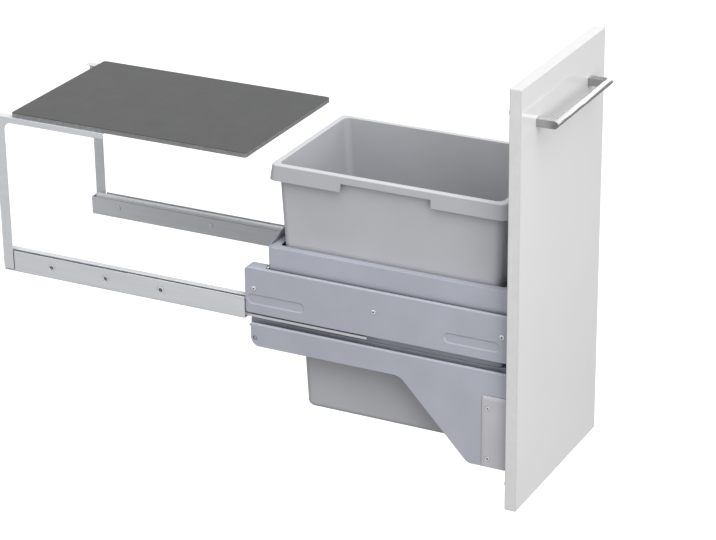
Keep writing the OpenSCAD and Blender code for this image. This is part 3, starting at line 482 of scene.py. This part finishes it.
# carry the cap on to the next ring: half width, half length, corner radius and height
def nextRing(shape, cap, old, new):
    newCap = facesOf(bmesh.ops.extrude_face_region(shape, geom=[cap])["geom"])[0]
    for vert in newCap.verts:
        sideX = 1 if vert.co.x > 0 else -1
        sideY = 1 if vert.co.y > binMiddleY else -1
        alongX = (abs(vert.co.x) - old[0] + old[2]) / old[2]
        alongY = (abs(vert.co.y - binMiddleY) - old[1] + old[2]) / old[2]
        vert.co = (sideX * (new[0] - new[2] + new[2] * alongX),
                   binMiddleY + sideY * (new[1] - new[2] + new[2] * alongY), new[3])
    if len(cap.edges[0].link_faces) > 2:  # the old cap is inside now, unless it is the bottom
        bmesh.ops.delete(shape, geom=[cap], context="FACES_ONLY")
    return newCap


# rings of the rounded bottom edge, from the flat bottom up
def footRings(size, inset):
    half, steps, radius = size["footHalf"], size["footSteps"], size["fillet"] - inset
    rings = []
    for step in range(steps + 1):
        around = math.radians(90 * step / steps)
        pull = radius * (1 - math.sin(around)) + inset
        rings.append((half[0] - pull, half[1] - pull, max(size["corner"] - pull, size["leastCorner"]),
                      binLow.z + inset + radius * (1 - math.cos(around))))
    return rings


# all rings of the bin: up the outside, round the skirt, over the rim and down the inside
def binRings(size):
    top, wall, corner, flare = binHigh.z, size["wall"], size["corner"], size["flare"]
    waist, shoulder, body, rim = (size[k] for k in ("waistHalf", "shoulderHalf", "bodyHalf", "rimHalf"))
    shoulderZ, ledge, inner = size["shoulder"], size["ledge"], corner - wall
    under, low = top - wall, top - size["skirt"]
    outside = footRings(size, 0)
    outside += [(*waist, corner, shoulderZ), (*shoulder, corner, shoulderZ + ledge), (*body, corner, under),
                (rim[0] - wall, rim[1] - wall, size["rimCorner"] - wall, under),
                (rim[0] + flare - wall, rim[1] + flare - wall, inner, low),
                (rim[0] + flare, rim[1] + flare, corner, low), (*rim, size["rimCorner"], top)]
    inside = [(body[0] - wall, body[1] - wall, inner, top),
              (shoulder[0] - wall, shoulder[1] - wall, inner, shoulderZ + wall + ledge),
              (waist[0] - wall, waist[1] - wall, inner, shoulderZ + wall)]
    inside += reversed(footRings(size, wall))
    return outside + inside


# the short part of the skirt, between two small steps on each long side
def stepSkirt(shape, size):
    low, rise = binHigh.z - size["skirt"], size["notchRise"]
    half, innerHalf = size["notchHalf"], size["notchHalf"] - size["notchSlope"]
    for offset in (-half, -innerHalf, half, innerHalf):
        bmesh.ops.bisect_plane(shape, geom=shape.verts[:] + shape.edges[:] + shape.faces[:], dist=0.000001,
                               plane_co=(0, binMiddleY + offset, 0), plane_no=(0, 1, 0))
    for vert in shape.verts:
        onSkirt = abs(vert.co.z - low) < size["near"] and abs(vert.co.x) > size["rimHalf"][0]
        if onSkirt and abs(vert.co.y - binMiddleY) < innerHalf + size["near"]:
            vert.co.z += rise
            vert.co.x -= math.copysign(size["flare"] * rise / size["skirt"], vert.co.x)


def roundBinEdges(shape, size):
    top, low = binHigh.z, binHigh.z - size["skirt"]
    sharp, spare = size["sharp"], size["spare"]

    def atTop(place):
        return abs(place.z - top) < size["near"]

    def beyond(place, half):
        return abs(place.x) > half[0] or abs(place.y - binMiddleY) > half[1]

    def atShoulder(place):
        return abs(place.z - size["shoulder"]) < size["shoulderBand"]

    def onSkirt(place):
        return low - spare < place.z < low + size["notchRise"] + spare and beyond(place, size["rimHalf"])

    outerRim = sharpEdges(shape, sharp, lambda place: atTop(place) and beyond(place, size["bodyHalf"]))
    bevelEdges(shape, outerRim, size["rimRound"], segments=4)
    bevelEdges(shape, sharpEdges(shape, sharp, atTop), size["lipRound"], segments=3)
    bevelEdges(shape, sharpEdges(shape, sharp, atShoulder), size["shoulderRound"])
    bevelEdges(shape, sharpEdges(shape, size["skirtSharp"], onSkirt), size["skirtRound"])


# painted shade and highlight: the outside of the skirt is painted darker and the top of the rim paler than
# the walls
def paintBinShadeAndHighlight(shape, size):
    top, low = binHigh.z - size["rimRound"], binHigh.z - size["skirt"] - size["spare"]
    bmesh.ops.recalc_face_normals(shape, faces=shape.faces)
    for face in shape.faces:
        middle, normal = face.calc_center_median(), face.normal
        outwards = middle.x * normal.x + (middle.y - binMiddleY) * normal.y
        if low < middle.z < top and outwards > size["outwards"] and abs(normal.z) < size["steep"]:
            face.material_index = 1
        elif middle.z > top and normal.z > size["upwards"]:
            face.material_index = 2


def makeBin():
    size = {"wall": 0.0022, "footHalf": (0.0905, 0.14625), "fillet": 0.010, "footSteps": 8,
            "waistHalf": (0.097, 0.14925), "shoulderHalf": (0.1045, 0.16425), "shoulder": -0.0211,
            "ledge": 0.0001, "bodyHalf": (0.1075, 0.17675), "rimHalf": (0.1135, 0.18325),
            "corner": 0.012, "leastCorner": 0.002, "rimCorner": 0.008, "cornerSegments": 8,
            "flare": 0.004, "skirt": 0.0235, "notchRise": 0.012, "notchHalf": 0.0715,
            "notchSlope": 0.0012, "rimRound": 0.0016, "lipRound": 0.0008, "shoulderRound": 0.0009,
            "skirtRound": 0.0005, "sharp": 35, "skirtSharp": 50, "near": 0.00005, "spare": 0.001,
            "shoulderBand": 0.0025, "outwards": 0.02, "steep": 0.5, "upwards": 0.3,
            "skirtShadeTone": (0.385, 0.389, 0.412), "rimHighlightTone": (0.520, 0.526, 0.553)}
    shape = bmesh.new()
    rings = binRings(size)
    cap = roundedPlate(shape, rings[0], size["cornerSegments"])
    for old, new in zip(rings, rings[1:]):
        cap = nextRing(shape, cap, old, new)
    stepSkirt(shape, size)
    roundBinEdges(shape, size)
    paintBinShadeAndHighlight(shape, size)
    shell = addPiece("bin_shell", shape, "bin", smoothAngle=30)
    # painted shade on the outside of the skirt, painted highlight on the top of the rim
    shell.data.materials.append(binPlastic("binSkirtShade", size["skirtShadeTone"]))
    shell.data.materials.append(binPlastic("binRimHighlight", size["rimHighlightTone"]))


# door board: a band on the four edges, painted greyer as shade, and its fine joint on the rounded ones
def makeDoor():
    size = {"edgeRound": 0.0015, "segments": 4, "flat": 0.99, "jointTone": 0.55}
    shape = bmesh.new()
    bmesh.ops.create_cube(shape, size=1)
    middle, extent = (doorLow + doorHigh) / 2, doorHigh - doorLow
    bmesh.ops.scale(shape, verts=shape.verts, vec=extent)
    bmesh.ops.translate(shape, verts=shape.verts, vec=middle)
    bevelEdges(shape, shape.edges, size["edgeRound"], size["segments"])
    for face in shape.faces:
        if max(abs(c) for c in face.normal) < size["flat"]:
            face.material_index = 2
        elif abs(face.normal.y) < size["flat"]:
            face.material_index = 1
    door = addPiece("door_board", shape, "door_front", smoothAngle=35)
    door.data.materials.append(doorEdgingAndShade())
    door.data.materials.append(doorEdgingAndShade("doorJoint", size["jointTone"]))


# bow handle: the side view of bar and leg is drawn out to the middle, then mirrored
def makeHandle():
    size = {"barDeep": 0.010, "legWide": 0.012, "browY": 0.0055, "noseZ": 0.0015, "chinY": 0.007,
            "rounds": (0.0030, 0.0030, 0.0016), "roundSegments": 7, "sharp": 35, "edge": 0.0006}
    low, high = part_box("handle")
    middleZ, half = (low.z + high.z) / 2, (high.z - low.z) / 2
    back = low.y + size["barDeep"]
    shape = bmesh.new()
    outline = bmesh.ops.create_circle(shape, cap_ends=True, segments=5, radius=1)["verts"]
    corners = [(back, -half), (back, half), (low.y + size["browY"], half), (low.y, size["noseZ"]),
               (low.y + size["chinY"], -half)]
    for vert, (y, z) in zip(outline, corners):
        vert.co = (low.x, y, middleZ + z)
    joint = [e for e in outline[0].link_edges if e.other_vert(outline[0]) == outline[1]]
    legEnd = bmesh.ops.extrude_edge_only(shape, edges=joint)["geom"]
    bmesh.ops.translate(shape, verts=vertsOf(legEnd), vec=(0, high.y - back, 0))
    for vert, width in zip(outline[2:], size["rounds"]):  # brow, nose and chin of the section
        bmesh.ops.bevel(shape, geom=[vert], offset=width, offset_type="OFFSET",
                        segments=size["roundSegments"], profile=0.5, affect="VERTICES", material=-1)
    caps = shape.faces[:]
    for reach in (size["legWide"], -low.x - size["legWide"]):  # bar and leg first, then the bar alone
        grown = bmesh.ops.extrude_face_region(shape, geom=caps)["geom"]
        bmesh.ops.translate(shape, verts=vertsOf(grown), vec=(reach, 0, 0))
        caps = [face for face in facesOf(grown) if face.calc_center_median().y < back]
    bmesh.ops.delete(shape, geom=caps, context="FACES_ONLY")
    bmesh.ops.mirror(shape, geom=shape.verts[:] + shape.edges[:] + shape.faces[:], axis="X",
                     merge_dist=0.00001)
    bmesh.ops.holes_fill(shape, edges=[e for e in shape.edges if e.is_boundary], sides=0)
    bmesh.ops.recalc_face_normals(shape, faces=shape.faces)
    bevelEdges(shape, sharpEdges(shape, size["sharp"]), size["edge"], segments=3)
    addPiece("handle_bow", shape, "handle", smoothAngle=30)


makeSheetMetal()
makePanel("left_side_panel", -1)
makePanel("right_side_panel", 1)
makeLid()
makeFasteners()
print("metal pieces made")
makeBin()
makeDoor()
makeHandle()
print("bin, door and handle made")


# floor, light and camera

def makeFloor():
    size = {"half": 14, "drop": 0.9}
    look = {"dark": 0.92, "light": 0.94, "cloud": 3, "roughness": 0.9}
    floorMesh = bpy.data.meshes.new("floor")
    floorShape = bmesh.new()
    bmesh.ops.create_grid(floorShape, x_segments=1, y_segments=1, size=size["half"])
    floorShape.to_mesh(floorMesh)
    floorShape.free()
    floor = bpy.data.objects.new("floor", floorMesh)
    floor.location = (0, 0, doorLow.z - size["drop"])
    floor.visible_diffuse = False  # the sweep is bright, but throws no light back up
    floor.visible_glossy = False
    scene.collection.objects.link(floor)
    material, shader = startMaterial("paleFloor", roughness=look["roughness"])
    cloud = placedPattern(material, look["cloud"])
    varyColour(material, shader, cloud, [look["dark"]] * 3, [look["light"]] * 3)
    floorMesh.materials.append(material)


def placeLamp(name, lamp, place, turn):
    lampObject = bpy.data.objects.new(name, lamp)
    lampObject.location = place
    lampObject.rotation_euler = turn.to_euler()
    scene.collection.objects.link(lampObject)


def makeSun(name, direction, power, spread):
    lamp = bpy.data.lights.new(name, "SUN")
    lamp.energy = power
    lamp.angle = math.radians(spread)
    placeLamp(name, lamp, direction, Vector(direction).to_track_quat("Z", "Y"))


def makeSoftbox(name, place, target, size, power):
    lamp = bpy.data.lights.new(name, "AREA")
    lamp.shape = "RECTANGLE"
    lamp.size, lamp.size_y = size
    lamp.energy = power
    placeLamp(name, lamp, place, (Vector(target) - Vector(place)).to_track_quat("-Z", "Y"))


def makeCamera():
    shot = {"place": (-3.1447, -1.7207, 1.5653), "azimuth": -62.86, "elevation": 23.5, "roll": -0.69,
            "lens": 130.8, "sensor": 36}
    around, up, roll = (math.radians(shot[k]) for k in ("azimuth", "elevation", "roll"))
    back = Vector((math.sin(around) * math.cos(up), -math.cos(around) * math.cos(up), math.sin(up)))
    lensData = bpy.data.cameras.new("photoCamera")
    lensData.lens = shot["lens"]
    lensData.sensor_width = shot["sensor"]
    camera = bpy.data.objects.new("photoCamera", lensData)
    camera.location = shot["place"]
    camera.rotation_mode = "QUATERNION"
    level = (-back).to_track_quat("-Z", "Y")
    camera.rotation_quaternion = level @ Matrix.Rotation(roll, 4, "Z").to_quaternion()
    scene.collection.objects.link(camera)
    scene.camera = camera


# pale above, greyer below, as in a white room with a darker floor
def makeSky():
    look = {"heights": (-0.5, 0.6), "strengths": (0.28, 0.78)}
    sky = bpy.data.worlds.new("studio")
    sky.use_nodes = True
    tree = sky.node_tree
    where = tree.nodes.new("ShaderNodeTexCoord")
    split = tree.nodes.new("ShaderNodeSeparateXYZ")
    tree.links.new(where.outputs["Generated"], split.inputs["Vector"])
    strength = spreadRange(tree, split.outputs["Z"], look["heights"], look["strengths"], "SMOOTHSTEP")
    tree.links.new(strength, tree.nodes["Background"].inputs["Strength"])
    tree.nodes["Background"].inputs["Color"].default_value = (1, 1, 1, 1)
    scene.world = sky


makeFloor()
makeSky()
makeSun("softSun", direction=(-0.30, -0.36, 0.88), power=2.0, spread=55)
makeSoftbox("frontLeftSoftbox", place=(-1.1, -1.7, 0.7), target=(0, -0.3, 0), size=(1.0, 1.0), power=14)
makeSoftbox("leftSoftbox", place=(-2.1, 1.3, 0.5), target=(0.1, 0.2, 0), size=(1.2, 1.2), power=5.5)
makeSoftbox("backSoftbox", place=(2.6, -0.8, 1.5), target=(0, -0.4, 0.3), size=(2.8, 0.8), power=15)
makeCamera()
print("stage set")
